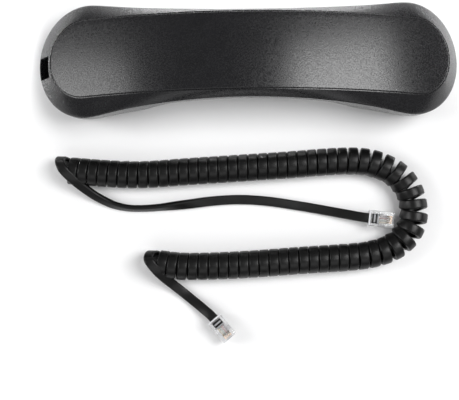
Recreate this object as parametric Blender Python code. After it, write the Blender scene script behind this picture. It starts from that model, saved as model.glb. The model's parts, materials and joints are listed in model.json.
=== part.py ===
"""A desk telephone handset lying face down, with its unplugged curly cord beside it.

Metres, +Z up.  X runs along the handset: the mouth end, with the cord socket, is at -X and the
ear end is at +X.  The rims of the two cups stand on z = 0, and the origin is under the middle of
the handset.  The cord lies on the same surface, on the -Y side.
"""
import math

import bmesh
import bpy
from mathutils import Matrix, Vector
from mathutils.geometry import interpolate_bezier

# Handset shell
HALF_LENGTH = 0.1030
BULGE_X = 0.0780                 # the widest place of each end
BULGE_HALF_WIDTH = 0.0274
WAIST_HALF_WIDTH = 0.0208
BACK_HEIGHT = 0.0440             # top of the arched back
BACK_RADIUS = 0.2200             # the back is an arc along the handset
SKIRT_DROP = 0.0072              # from the panel's edge down to the joint of the two shells
PANEL_HALF_LENGTH = 0.0964
PANEL_CAP_X = 0.0796
PANEL_HALF_WIDTH = 0.0180
PANEL_END_WIDENING = 0.0005
PANEL_SHIFT = 0.0006             # the panel sits a little towards the ear end
GRIP_THICKNESS = 0.0250
RAMP_START = 0.0360              # the grip's underside starts to run down to the cups here
RAMP_END = 0.0560
WALL = 0.0020
GRIP_FLOOR = 0.0022
CUP_FLOOR = 0.0055
GAP = 0.0003
CAP_STEPS = 9
SIDE_STEPS = 16

# Cups
DISH_X = 0.0780
DISH_RADIUS = 0.0160
DISH_DEPTH = 0.0026
EAR_HOLE_RADIUS = 0.0009
EAR_HOLE_RINGS = ((0.0, 1), (0.0036, 6), (0.0070, 6))
MIC_X = -0.0700
MIC_SLOT = (0.0020, 0.0070)

# Cord socket, made for a four-contact modular plug
SOCKET_Y = -0.0016                # the socket sits a little to one side
SOCKET_HALF_WIDTH = 0.0054
SOCKET_BOTTOM = 0.0127
SOCKET_TOP = 0.0199
JACK_FRONT = -0.0930
JACK_BACK = -0.0795
JACK_HALF_WIDTH = 0.0055
JACK_BOTTOM = 0.0094
JACK_TOP = 0.0205
BOARD_THICKNESS = 0.0012
CONTACT_ANCHOR = Vector((-0.0815, 0, 0.0188))
CONTACT_TIP = Vector((-0.0905, 0, 0.0176))
CONTACT_PITCH = 0.00102
CONTACT_OFFSETS = tuple((i - 1.5) * CONTACT_PITCH for i in range(4))

# Screws
SHELL_SCREW_X = 0.0320
BALLAST_SCREW_X = 0.0170

# Ballast
BALLAST_HALF_LENGTH = 0.0230
BALLAST_HALF_WIDTH = 0.0075
BALLAST_BOTTOM = 0.0240
BALLAST_TOP = 0.0330

# Modular plugs; a plug's own X runs from the cord to its nose
PLUG_LENGTH = 0.0123
PLUG_WIDTH = 0.00765
PLUG_HEIGHT = 0.0058
PLUG_BASE = 0.0027               # the body's underside stands this high on its latch
PLUG_AXIS = PLUG_BASE + 0.5 * PLUG_HEIGHT
LATCH_WIDTH = 0.0032
LATCH_THICKNESS = 0.0008
LATCH_LENGTH = 0.0102
LATCH_ANGLE = math.radians(7.5)
PLUG_A_REAR = (0.0584, -0.0757)
PLUG_A_TURN = math.radians(-7)
PLUG_B_REAR = (-0.0183, -0.1243)
PLUG_B_TURN = math.radians(-50)

# Cord: a flat cord, 4.6 mm by 2.4 mm, stands here as a round one of the same section area
LEAD_DIAMETER = 0.0036
COIL_DIAMETER = 0.0134
COIL_HEIGHT = 0.5 * COIL_DIAMETER
LEAD_HEIGHT = 0.5 * LEAD_DIAMETER
COIL_POINT_SPACING = 0.0085
LEAD_POINT_SPACING = 0.0060
JACKET_IN_PLUG = 0.0044          # how far the cord's jacket reaches into a plug
COIL_ROUTE = [
    (-0.0850, -0.0512), (-0.0700, -0.0525), (-0.0530, -0.0532), (-0.0290, -0.0518),
    (-0.0040, -0.0504), (0.0190, -0.0491), (0.0400, -0.0477), (0.0540, -0.0476),
    (0.0640, -0.0497), (0.0730, -0.0547), (0.0786, -0.0622), (0.0807, -0.0703),
    (0.0802, -0.0776), (0.0768, -0.0845), (0.0700, -0.0901), (0.0600, -0.0935),
    (0.0480, -0.0950), (0.0245, -0.0963), (0.0015, -0.0978), (-0.0185, -0.0986),
    (-0.0340, -0.0985), (-0.0470, -0.0968)]
LEAD_A_ROUTE = [
    (-0.0860, -0.0470, 0.0110), (-0.0885, -0.0470, 0.0110), (-0.0905, -0.0495, 0.0107),
    (-0.0906, -0.0545, 0.0088), (-0.0880, -0.0600, 0.0048), (-0.0820, -0.0638, LEAD_HEIGHT),
    (-0.0750, -0.0662, LEAD_HEIGHT), (-0.0671, -0.0683, LEAD_HEIGHT), (-0.0577, -0.0696, LEAD_HEIGHT),
    (-0.0477, -0.0694, LEAD_HEIGHT), (-0.0377, -0.0685, LEAD_HEIGHT), (-0.0277, -0.0671, LEAD_HEIGHT),
    (-0.0177, -0.0659, LEAD_HEIGHT), (-0.0042, -0.0655, LEAD_HEIGHT), (0.0100, -0.0668, LEAD_HEIGHT),
    (0.0266, -0.0695, LEAD_HEIGHT), (0.0400, -0.0721, 0.0024), (0.0480, -0.0738, 0.0043)]
LEAD_B_ROUTE = [
    (-0.0480, -0.0922, 0.0110), (-0.0505, -0.0922, 0.0110), (-0.0526, -0.0947, 0.0107),
    (-0.0527, -0.0997, 0.0088), (-0.0500, -0.1050, 0.0048), (-0.0440, -0.1088, LEAD_HEIGHT),
    (-0.0360, -0.1118, LEAD_HEIGHT), (-0.0290, -0.1163, 0.0024), (-0.0237, -0.1202, 0.0040)]


# ---------------------------------------------------------------- materials

def material(name, colour, roughness, metallic=0.0, alpha=1.0):
    """A Principled material in the piece's colour."""
    made = bpy.data.materials.new(name)
    made.use_nodes = True
    shader = made.node_tree.nodes["Principled BSDF"]
    shader.inputs["Base Color"].default_value = (*colour, 1.0)
    shader.inputs["Roughness"].default_value = roughness
    shader.inputs["Metallic"].default_value = metallic
    shader.inputs["Alpha"].default_value = alpha
    return made


def make_materials():
    """One material for each finish on the object."""
    return {
        "shell": material("black_grained_plastic", (0.022, 0.022, 0.023), 0.55),
        "jack": material("black_moulded_plastic", (0.015, 0.015, 0.015), 0.4),
        "cord": material("black_cord_jacket", (0.014, 0.014, 0.014), 0.5),
        "clear": material("clear_plug_plastic", (0.9, 0.92, 0.93), 0.08, alpha=0.4),
        "gold": material("gold_plated_contact", (0.85, 0.62, 0.25), 0.25, 1.0),
        "steel": material("zinc_plated_steel", (0.55, 0.55, 0.56), 0.35, 1.0),
        "ballast": material("cast_ballast", (0.2, 0.2, 0.21), 0.6, 1.0),
        "magnet": material("nickel_plated_magnet", (0.6, 0.6, 0.58), 0.2, 1.0),
        "copper": material("enamelled_copper", (0.55, 0.2, 0.08), 0.35, 1.0),
        "film": material("amber_film", (0.6, 0.38, 0.12), 0.3),
        "rubber": material("black_rubber", (0.03, 0.03, 0.03), 0.8),
        "felt": material("black_felt", (0.02, 0.02, 0.02), 0.95),
        "foam": material("grey_foam", (0.1, 0.1, 0.11), 0.95),
        "board": material("green_board", (0.02, 0.16, 0.06), 0.45),
        "red": material("red_insulation", (0.55, 0.02, 0.02), 0.4),
        "green": material("green_insulation", (0.02, 0.3, 0.06), 0.4),
        "yellow": material("yellow_insulation", (0.7, 0.5, 0.03), 0.4),
        "black": material("black_insulation", (0.02, 0.02, 0.02), 0.4),
    }


# ---------------------------------------------------------------- mesh helpers

def add_mesh(name, vertices, faces, finish=None, smooth_angle=40):
    """A mesh object from points and faces, its faces pointing out."""
    mesh = bpy.data.meshes.new(name)
    mesh.from_pydata([tuple(v) for v in vertices], [], faces)
    made = bpy.data.objects.new(name, mesh)
    bpy.context.scene.collection.objects.link(made)
    finish_mesh(mesh, finish, smooth_angle)
    return made


def finish_mesh(mesh, finish, smooth_angle):
    """Faces out, round pieces smooth, material in the first slot."""
    work = bmesh.new()
    work.from_mesh(mesh)
    bmesh.ops.recalc_face_normals(work, faces=work.faces)
    work.to_mesh(mesh)
    work.free()
    mesh.shade_smooth()
    mesh.set_sharp_from_angle(angle=math.radians(smooth_angle))
    if finish:
        mesh.materials.append(finish)


def box(name, low, high, finish=None, bevel=0.0):
    """A box between two corners, its edges bevelled."""
    mesh = bpy.data.meshes.new(name)
    work = bmesh.new()
    size = [high[i] - low[i] for i in range(3)]
    middle = [0.5 * (high[i] + low[i]) for i in range(3)]
    bmesh.ops.create_cube(work, size=1.0)
    bmesh.ops.scale(work, vec=size, verts=work.verts)
    bmesh.ops.translate(work, vec=middle, verts=work.verts)
    if bevel:
        bmesh.ops.bevel(work, geom=work.edges[:], offset=bevel, segments=1, affect="EDGES")
    work.to_mesh(mesh)
    work.free()
    made = bpy.data.objects.new(name, mesh)
    bpy.context.scene.collection.objects.link(made)
    finish_mesh(mesh, finish, 30)
    return made


def turned(name, profile, centre, finish=None, sides=24, axis="Z"):
    """A solid of revolution from its (radius, height) profile, which runs along the outside."""
    vertices = []
    faces = []
    rows = []
    for radius, height in profile:
        if radius == 0:
            rows.append([len(vertices)] * sides)
            vertices.append((0, 0, height))
            continue
        rows.append(list(range(len(vertices), len(vertices) + sides)))
        for i in range(sides):
            angle = 2 * math.pi * i / sides
            vertices.append((radius * math.cos(angle), radius * math.sin(angle), height))
    closed = profile[0][0] > 0
    pairs = list(zip(rows, rows[1:] + rows[:1])) if closed else list(zip(rows, rows[1:]))
    for first, second in pairs:
        for i in range(sides):
            j = (i + 1) % sides
            corners = [first[i], first[j], second[j], second[i]]
            face = list(dict.fromkeys(corners))
            if len(face) > 2:
                faces.append(face)
    made = add_mesh(name, vertices, faces, finish)
    made.location = centre
    if axis == "X":
        made.rotation_euler = (0, math.radians(90), 0)
    return made


def disc(name, radius, low, high, centre_x, finish=None, sides=24):
    """A plain round disc or pin on the Z axis."""
    profile = [(0, low), (radius, low), (radius, high), (0, high)]
    return turned(name, profile, (centre_x, 0, 0), finish, sides)


def ring(name, inner, outer, low, high, centre_x, finish=None, sides=24):
    """A round ring on the Z axis."""
    profile = [(inner, low), (outer, low), (outer, high), (inner, high)]
    return turned(name, profile, (centre_x, 0, 0), finish, sides)


def joined_cutter(name, pieces):
    """Several separate cutting solids in one hidden object."""
    work = bmesh.new()
    for piece in pieces:
        copy = piece.data.copy()
        copy.transform(matrix_of(piece))
        work.from_mesh(copy)
        bpy.data.objects.remove(piece)
    mesh = bpy.data.meshes.new(name)
    work.to_mesh(mesh)
    work.free()
    made = bpy.data.objects.new(name, mesh)
    bpy.context.scene.collection.objects.link(made)
    return made


def matrix_of(piece):
    """The matrix of an unparented object, without waiting for an update of the scene."""
    return Matrix.LocRotScale(piece.location, piece.rotation_euler, piece.scale)


def boolean(target, tool, operation="DIFFERENCE"):
    """Cut or join a hidden tool with an exact Boolean modifier."""
    modifier = target.modifiers.new(tool.name, "BOOLEAN")
    modifier.operation = operation
    modifier.object = tool
    modifier.solver = "EXACT"
    tool.hide_render = True
    tool.display_type = "WIRE"


# ---------------------------------------------------------------- shell outline

def back_height(x):
    """Height of the arched back panel."""
    return BACK_HEIGHT - BACK_RADIUS + math.sqrt(BACK_RADIUS ** 2 - x ** 2)


def joint_height(x):
    """Height of the joint between the two shells."""
    return back_height(x) - SKIRT_DROP


def under_height(x):
    """Height of the underside: the arched grip, a ramp, then the flat cup rims."""
    t = (abs(x) - RAMP_START) / (RAMP_END - RAMP_START)
    t = min(1.0, max(0.0, t))
    down = t * t * (3 - 2 * t)
    return (1 - down) * (back_height(x) - GRIP_THICKNESS)


def floor_thickness(x):
    """Thickness of the front shell's floor: thin in the grip, thick in the cups."""
    t = (abs(x) - RAMP_START) / (RAMP_END - RAMP_START)
    t = min(1.0, max(0.0, t))
    return GRIP_FLOOR + (CUP_FLOOR - GRIP_FLOOR) * t


def outline_width(x):
    """Half width of the handset along its long sides: a slim waist that flares at the bulges."""
    u = abs(x) / BULGE_X
    return WAIST_HALF_WIDTH + (BULGE_HALF_WIDTH - WAIST_HALF_WIDTH) * (u ** 2 + 2 * u ** 12 * (1 - u))


def panel_width(x):
    """Half width of the back panel, nearly the same all along."""
    return PANEL_HALF_WIDTH + PANEL_END_WIDENING * (x / PANEL_CAP_X) ** 2


def plan_loop(half_width, cap_x, half_length, inset, shift=0.0):
    """A closed plan outline: two elliptical end caps and two long sides, symmetric about X."""
    quarter = []
    for i in range(CAP_STEPS):
        angle = 0.5 * math.pi * i / CAP_STEPS
        along = (half_length - cap_x - inset) * math.cos(angle)
        quarter.append((cap_x + along, (half_width(cap_x) - inset) * math.sin(angle)))
    for i in range(SIDE_STEPS):
        x = cap_x * (1 - i / SIDE_STEPS)
        quarter.append((x, half_width(x) - inset))
    upper = quarter + [(0.0, half_width(0.0) - inset)] + [(-x, y) for x, y in reversed(quarter)]
    lower = [(x, -y) for x, y in reversed(upper[1:-1])]
    return [(x + shift, y) for x, y in upper + lower]


def outline_loop(inset, height):
    """The handset's outline, drawn in by inset, at a height that depends on x."""
    plan = plan_loop(outline_width, BULGE_X, HALF_LENGTH, inset)
    return [Vector((x, y, height(x))) for x, y in plan]


def panel_loop(inset, height):
    """The back panel's edge, drawn in by inset, at a height that depends on x."""
    plan = plan_loop(panel_width, PANEL_CAP_X, PANEL_HALF_LENGTH, inset, PANEL_SHIFT)
    return [Vector((x, y, height(x))) for x, y in plan]


def loft(name, loops, finish):
    """A closed solid: loops bridged in order, the first and last closed straight across Y."""
    count = len(loops[0])
    vertices = [point for loop in loops for point in loop]
    faces = []
    for row in range(len(loops) - 1):
        start = row * count
        for i in range(count):
            j = (i + 1) % count
            faces.append([start + i, start + j, start + count + j, start + count + i])
    for start in (0, (len(loops) - 1) * count):
        for i in range(count // 2):
            corners = [i, i + 1, (count - i - 1) % count, (count - i) % count]
            faces.append([start + c for c in dict.fromkeys(corners)])
    return add_mesh(name, vertices, faces, finish, 35)


def between(low, high, share):
    """A height function that lies a given share of the way from low to high."""
    return lambda x: low(x) + share * (high(x) - low(x))


def lowered(height, drop):
    """A height function moved down."""
    return lambda x: height(x) - drop


# ---------------------------------------------------------------- shells

def make_rear_shell(finish):
    """Arched back panel, sloping skirt, socket opening and two screw bosses."""
    skirt_middle = [0.5 * (a + b) for a, b in zip(
        panel_loop(-0.0004, back_height), outline_loop(-0.0004, lowered(back_height, SKIRT_DROP)))]
    loops = [
        panel_loop(0.0, back_height),
        skirt_middle,
        outline_loop(0.0, joint_height),
        outline_loop(WALL, joint_height),
        panel_loop(0.9 * WALL, lowered(back_height, WALL))]
    shell = loft("rear_shell", loops, finish)
    bosses = []
    bores = []
    for side, x in (("a", -SHELL_SCREW_X), ("b", SHELL_SCREW_X)):
        top = back_height(x) - 0.5 * WALL
        bosses.append(disc("boss_" + side, 0.0030, 0.0240, top, x, sides=12))
        bores.append(disc("bore_" + side, 0.00115, 0.0200, 0.0330, x, sides=10))
    boolean(shell, joined_cutter("rear_bosses", bosses), "UNION")
    bores.append(box(
        "socket_cut", (-HALF_LENGTH - 0.01, SOCKET_Y - SOCKET_HALF_WIDTH, SOCKET_BOTTOM),
        (JACK_FRONT, SOCKET_Y + SOCKET_HALF_WIDTH, SOCKET_TOP)))
    boolean(shell, joined_cutter("rear_cuts", bores))
    return shell


def make_front_shell(finish):
    """The lower moulding: grip underside, ear cup and mouth cup, with their openings."""
    joint = lowered(joint_height, GAP)
    outer = [(1.0, 0.00035), (0.70, 0.0008), (0.35, 0.0020), (0.12, 0.0044), (0.0, 0.0076)]
    inner = [(0.0, 0.0105), (0.30, 0.0048), (1.0, 0.00035 + WALL)]

    def inner_floor(x):
        return under_height(x) + floor_thickness(x)

    loops = [outline_loop(inset, between(under_height, joint, share)) for share, inset in reversed(outer)]
    loops += [outline_loop(inset, between(inner_floor, joint, share)) for share, inset in reversed(inner)]
    shell = loft("front_shell", loops, finish)

    posts = []
    for side, x in (("a", -BALLAST_SCREW_X), ("b", BALLAST_SCREW_X)):
        posts.append(disc("post_" + side, 0.0026, 0.0197, BALLAST_BOTTOM - GAP, x, sides=12))
    boolean(shell, joined_cutter("front_posts", posts), "UNION")

    cuts = []
    for side, x in (("a", -1), ("b", 1)):
        cuts.append(disc("dish_" + side, DISH_RADIUS, -0.002, DISH_DEPTH, x * DISH_X, sides=48))
        under = under_height(SHELL_SCREW_X)
        cuts.append(disc("head_" + side, 0.0028, under - 0.004, under + 0.0012, x * SHELL_SCREW_X, sides=16))
        cuts.append(disc("post_bore_" + side, 0.0010, 0.0204, 0.0260, x * BALLAST_SCREW_X, sides=10))
    boolean(shell, joined_cutter("front_pockets", cuts))

    holes = []
    for side, x in (("a", -SHELL_SCREW_X), ("b", SHELL_SCREW_X)):
        holes.append(disc("shank_" + side, 0.00115, 0.0120, 0.0230, x, sides=10))
    for radius, count in EAR_HOLE_RINGS:
        for i in range(count):
            angle = 2 * math.pi * (i + 0.5 * (radius > 0.005)) / count
            hole = disc(f"ear_hole_{radius}_{i}", EAR_HOLE_RADIUS, 0.001, 0.008, 0.0, sides=8)
            hole.location = (DISH_X + radius * math.cos(angle), radius * math.sin(angle), 0)
            holes.append(hole)
    holes.append(box(
        "mic_slot", (MIC_X - 0.5 * MIC_SLOT[0], -0.5 * MIC_SLOT[1], 0.001),
        (MIC_X + 0.5 * MIC_SLOT[0], 0.5 * MIC_SLOT[1], 0.008)))
    boolean(shell, joined_cutter("front_holes", holes))
    return shell


# ---------------------------------------------------------------- inside

def make_screw(name, x, head_low, head_high, tip, head_radius, shank_radius, finish):
    """A pan-head screw: its head is at head_low..head_high and its tip points away from the head."""
    inner_face = head_high if tip > head_high else head_low
    outer_face = head_low if tip > head_high else head_high
    profile = [
        (0, outer_face), (0.75 * head_radius, outer_face), (head_radius, 0.5 * (head_low + head_high)),
        (head_radius, inner_face), (shank_radius, inner_face), (shank_radius, tip), (0, tip)]
    return turned(name, profile, (x, 0, 0), finish, 16)


def make_fasteners(finishes):
    """Two screws hold the shells together and two hold the ballast."""
    head_high = under_height(SHELL_SCREW_X) + 0.0012 - GAP
    for side, x in (("mouth_side", -SHELL_SCREW_X), ("ear_side", SHELL_SCREW_X)):
        make_screw(
            "shell_screw_" + side, x, head_high - 0.0014, head_high, 0.0310, 0.0024, 0.00085, finishes["steel"])
    for side, x in (("mouth_side", -BALLAST_SCREW_X), ("ear_side", BALLAST_SCREW_X)):
        low = BALLAST_TOP + GAP
        make_screw("ballast_screw_" + side, x, low, low + 0.0012, 0.0208, 0.0020, 0.0007, finishes["steel"])


def make_ballast(finishes):
    """A steel weight in the grip, with a foam pad on it."""
    weight = box(
        "ballast_weight", (-BALLAST_HALF_LENGTH, -BALLAST_HALF_WIDTH, BALLAST_BOTTOM),
        (BALLAST_HALF_LENGTH, BALLAST_HALF_WIDTH, BALLAST_TOP), finishes["ballast"], 0.0006)
    holes = []
    for side, x in (("a", -BALLAST_SCREW_X), ("b", BALLAST_SCREW_X)):
        holes.append(disc("weight_hole_" + side, 0.0010, BALLAST_BOTTOM - 0.002, BALLAST_TOP + 0.002, x, sides=10))
    boolean(weight, joined_cutter("weight_holes", holes))
    low = BALLAST_TOP + GAP
    box("ballast_foam_pad", (-0.0120, -0.0060, low), (0.0120, 0.0060, low + 0.0032), finishes["foam"], 0.0004)


def make_receiver(finishes):
    """The earpiece: felt, gasket, moving diaphragm and voice coil, magnet and frame."""
    floor = CUP_FLOOR + GAP
    disc("ear_felt", 0.0112, floor, floor + 0.0007, DISH_X, finishes["felt"])
    ring("receiver_gasket", 0.0118, 0.0136, floor, floor + 0.0020, DISH_X, finishes["rubber"])
    diaphragm_low = 0.0084
    disc("receiver_diaphragm", 0.0113, diaphragm_low, diaphragm_low + 0.0003, DISH_X, finishes["film"])
    coil_low = diaphragm_low + 0.0003 + GAP
    ring("receiver_voice_coil", 0.0052, 0.0060, coil_low, coil_low + 0.0022, DISH_X, finishes["copper"])
    disc("receiver_magnet", 0.0047, 0.0097, 0.0139, DISH_X, finishes["magnet"])
    frame = [(0, 0.0142), (0.0121, 0.0142), (0.0121, 0.0081), (0.0138, 0.0081), (0.0138, 0.0152), (0, 0.0152)]
    turned("receiver_frame", frame, (DISH_X, 0, 0), finishes["jack"])


def make_microphone(finishes):
    """The microphone capsule in its rubber boot, with a felt disc towards the slot."""
    floor = CUP_FLOOR + GAP
    disc("mic_felt", 0.0045, floor, floor + 0.0005, MIC_X, finishes["felt"], 20)
    disc("mic_capsule", 0.0047, floor + 0.0008, floor + 0.0055, MIC_X, finishes["steel"], 20)
    boot = [(0, 0.0117), (0.0050, 0.0117), (0.0050, floor), (0.0064, floor), (0.0064, 0.0128), (0, 0.0128)]
    turned("mic_boot", boot, (MIC_X, 0, 0), finishes["rubber"], 20)


def make_jack(finishes):
    """The cord socket: housing, four spring contacts and the board that carries it."""
    housing = box(
        "jack_housing", (JACK_FRONT, SOCKET_Y - JACK_HALF_WIDTH, JACK_BOTTOM),
        (JACK_BACK, SOCKET_Y + JACK_HALF_WIDTH, JACK_TOP), finishes["jack"])
    cavity = box(
        "jack_cavity", (JACK_FRONT - 0.002, SOCKET_Y - 0.00405, JACK_BOTTOM + 0.00325),
        (JACK_BACK - 0.0015, SOCKET_Y + 0.00405, JACK_TOP - 0.00095))
    notch = box(
        "jack_notch", (JACK_FRONT - 0.002, SOCKET_Y - 0.0018, JACK_BOTTOM + 0.0013),
        (-0.0860, SOCKET_Y + 0.0018, JACK_BOTTOM + 0.0039))
    boolean(housing, cavity)
    boolean(housing, notch)
    board_low = JACK_BOTTOM - GAP - BOARD_THICKNESS
    box("circuit_board", (JACK_FRONT, -0.0085, board_low), (JACK_BACK, 0.0085, JACK_BOTTOM - GAP), finishes["board"])
    run = CONTACT_TIP - CONTACT_ANCHOR
    for number, y in enumerate(CONTACT_OFFSETS, 1):
        contact = box(f"jack_contact_{number}", (-run.length, -0.00022, -0.0002), (0, 0.00022, 0.0002), finishes["gold"])
        contact.location = (CONTACT_ANCHOR.x, SOCKET_Y + y, CONTACT_ANCHOR.z)
        contact.rotation_euler = (0, -math.atan2(-run.z, -run.x), 0)


def make_wires(finishes):
    """Two insulated wires from the board to the receiver."""
    route = [
        (-0.0800, 0.0085, 0.0105), (-0.0700, 0.0115, 0.0130), (-0.0600, 0.0130, 0.0165),
        (-0.0450, 0.0135, 0.0245), (-0.0250, 0.0135, 0.0290), (0.0, 0.0135, 0.0300),
        (0.0250, 0.0135, 0.0290), (0.0450, 0.0130, 0.0245), (0.0580, 0.0100, 0.0190), (0.0700, 0.0040, 0.0165)]
    for name, shift in (("red", 0.0), ("black", -0.0017)):
        points = [(x, y + shift, z) for x, y, z in route]
        add_tube("wire_" + name, smooth_route(points, 0.007), 0.0012, finishes[name], 1)


# ---------------------------------------------------------------- cord

def smooth_route(points, spacing):
    """Points about spacing apart on a smooth curve through the route's points."""
    knots = [Vector(p) for p in points]
    fine = []
    for i in range(len(knots) - 1):
        before = knots[max(i - 1, 0)]
        after = knots[min(i + 2, len(knots) - 1)]
        handle_a = knots[i] + (knots[i + 1] - before) / 6
        handle_b = knots[i + 1] - (after - knots[i]) / 6
        fine += interpolate_bezier(knots[i], handle_a, handle_b, knots[i + 1], 16)[:-1]
    fine.append(knots[-1])
    lengths = [0.0]
    for a, b in zip(fine, fine[1:]):
        lengths.append(lengths[-1] + (b - a).length)
    count = max(2, round(lengths[-1] / spacing))
    route = []
    index = 0
    for step in range(count + 1):
        wanted = lengths[-1] * step / count
        while index < len(fine) - 2 and lengths[index + 1] < wanted:
            index += 1
        span = lengths[index + 1] - lengths[index]
        route.append(fine[index].lerp(fine[index + 1], (wanted - lengths[index]) / span))
    return route


def add_tube(name, route, diameter, finish, resolution=2):
    """A round tube with closed ends along a route."""
    curve = bpy.data.curves.new(name, "CURVE")
    curve.dimensions = "3D"
    curve.bevel_depth = 0.5 * diameter
    curve.bevel_resolution = resolution
    curve.use_fill_caps = True
    curve.render_resolution_u = 0
    spline = curve.splines.new("POLY")
    spline.points.add(len(route) - 1)
    for point, place in zip(spline.points, route):
        point.co = (*place, 1.0)
    curve.materials.append(finish)
    made = bpy.data.objects.new(name, curve)
    bpy.context.scene.collection.objects.link(made)
    return made


def into_plug(rear, turn):
    """The last two points of a lead: just behind its plug, and inside it."""
    points = []
    for along in (-0.0018, JACKET_IN_PLUG):
        points.append((rear[0] + along * math.cos(turn), rear[1] + along * math.sin(turn), PLUG_AXIS))
    return points


def make_lead(name, route, finish):
    """A lead that rests on the surface and never dips below it."""
    points = smooth_route(route, LEAD_POINT_SPACING)
    for point in points:
        point.z = max(point.z, LEAD_HEIGHT)
    add_tube(name, points, LEAD_DIAMETER, finish)


def make_cord(finishes):
    """The two flat leads and the outer shape of the curly stretch between them."""
    coil = [(x, y, COIL_HEIGHT) for x, y in COIL_ROUTE]
    add_tube("curly_coil", smooth_route(coil, COIL_POINT_SPACING), COIL_DIAMETER, finishes["cord"], 4)
    make_lead("lead_a", LEAD_A_ROUTE + into_plug(PLUG_A_REAR, PLUG_A_TURN), finishes["cord"])
    make_lead("lead_b", LEAD_B_ROUTE + into_plug(PLUG_B_REAR, PLUG_B_TURN), finishes["cord"])


# ---------------------------------------------------------------- plugs

def make_plug(letter, rear, turn, finishes):
    """A clear modular plug: body, latch tongue, four contact blades and four conductors."""
    carrier = bpy.data.objects.new(f"plug_{letter}_place", None)
    bpy.context.scene.collection.objects.link(carrier)
    carrier.location = (rear[0], rear[1], PLUG_BASE)
    carrier.rotation_euler = (0, 0, turn)
    middle = 0.5 * PLUG_HEIGHT
    body = box(
        f"plug_{letter}_body", (0, -0.5 * PLUG_WIDTH, 0), (PLUG_LENGTH, 0.5 * PLUG_WIDTH, PLUG_HEIGHT),
        finishes["clear"], 0.0003)
    body.parent = carrier
    cuts = [
        turned("cord_bore", [(0, -0.001), (0.0022, -0.001), (0.0022, 0.0048), (0, 0.0048)],
               (0, 0, middle), None, 12, "X"),
        box("conductor_channel", (0.0040, -0.0024, middle - 0.0008), (0.0096, 0.0024, middle + 0.0008)),
        box("contact_pocket", (0.0091, -0.0024, middle + 0.0003), (0.0120, 0.0024, PLUG_HEIGHT + 0.001))]
    for cut in cuts:
        cut.name = f"plug_{letter}_{cut.name}"
        boolean(body, cut)
        cut.parent = carrier
    blade_finishes = ("yellow", "green", "red", "black")
    for number, y in enumerate(CONTACT_OFFSETS, 1):
        blade = box(
            f"plug_{letter}_contact_{number}", (0.0100, y - 0.0002, middle + 0.0008),
            (0.0116, y + 0.0002, PLUG_HEIGHT - 0.0003), finishes["gold"])
        blade.parent = carrier
        conductor = turned(
            f"plug_{letter}_conductor_{number}",
            [(0, 0.0049), (0.00035, 0.0049), (0.00035, 0.0092), (0, 0.0092)],
            (0, y, middle), finishes[blade_finishes[number - 1]], 8, "X")
        conductor.parent = carrier
    hinge_x = PLUG_LENGTH - 0.0004
    latch = box(
        f"plug_{letter}_latch", (-LATCH_LENGTH, -0.5 * LATCH_WIDTH, -LATCH_THICKNESS),
        (0, 0.5 * LATCH_WIDTH, 0), finishes["clear"], 0.00015)
    latch.location = (hinge_x, 0, -GAP)
    latch.rotation_euler = (0, -LATCH_ANGLE, 0)
    latch.parent = carrier


def main():
    """Clear the scene and make every piece."""
    for old in list(bpy.data.objects):
        bpy.data.objects.remove(old)
    finishes = make_materials()
    make_rear_shell(finishes["shell"])
    make_front_shell(finishes["shell"])
    make_fasteners(finishes)
    make_ballast(finishes)
    make_receiver(finishes)
    make_microphone(finishes)
    make_jack(finishes)
    make_wires(finishes)
    make_cord(finishes)
    make_plug("a", PLUG_A_REAR, PLUG_A_TURN, finishes)
    make_plug("b", PLUG_B_REAR, PLUG_B_TURN, finishes)


main()
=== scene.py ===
"""The looks of the desk telephone handset and its curly cord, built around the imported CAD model.

Metres, +Z up, in the CAD model's frame: X along the handset with the cord socket at -X, the cup
rims on z = 0, the cord on the -Y side.
"""
import json
import math

import bmesh
import bpy
import numpy as np
from mathutils import Matrix, Vector
from mathutils.geometry import interpolate_bezier


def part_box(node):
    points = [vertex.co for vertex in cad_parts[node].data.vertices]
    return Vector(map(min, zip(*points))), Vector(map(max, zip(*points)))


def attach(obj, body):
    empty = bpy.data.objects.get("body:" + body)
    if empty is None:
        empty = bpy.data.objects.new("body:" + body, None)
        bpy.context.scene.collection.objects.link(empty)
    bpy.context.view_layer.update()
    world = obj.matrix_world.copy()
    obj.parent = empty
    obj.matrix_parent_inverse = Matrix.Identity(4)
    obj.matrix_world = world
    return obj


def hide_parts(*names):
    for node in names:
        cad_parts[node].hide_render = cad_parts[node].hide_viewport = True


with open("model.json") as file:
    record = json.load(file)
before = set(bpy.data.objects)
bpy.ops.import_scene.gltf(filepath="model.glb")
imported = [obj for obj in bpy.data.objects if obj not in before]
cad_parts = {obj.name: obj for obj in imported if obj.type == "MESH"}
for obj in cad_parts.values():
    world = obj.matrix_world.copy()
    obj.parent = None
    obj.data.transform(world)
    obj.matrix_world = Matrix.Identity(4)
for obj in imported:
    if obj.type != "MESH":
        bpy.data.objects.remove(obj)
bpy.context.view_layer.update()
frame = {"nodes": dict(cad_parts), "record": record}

# ---- floor, camera and lights
FLOOR_HALF_SIZE = 3.0
FLOOR_COLOUR = (0.86, 0.86, 0.865)
FLOOR_ROUGHNESS = 0.6
CAMERA_PLACE = (-0.0100, -0.1049, 0.4490)
CAMERA_TILT = math.radians(5.0)
CAMERA_ROLL = math.radians(-0.6)
CAMERA_LENS = 70.6
SENSOR_WIDTH = 36.0
SURROUND_STRENGTH = 0.24
LIGHT_AIM = (0.0, -0.04, 0.0)
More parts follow.
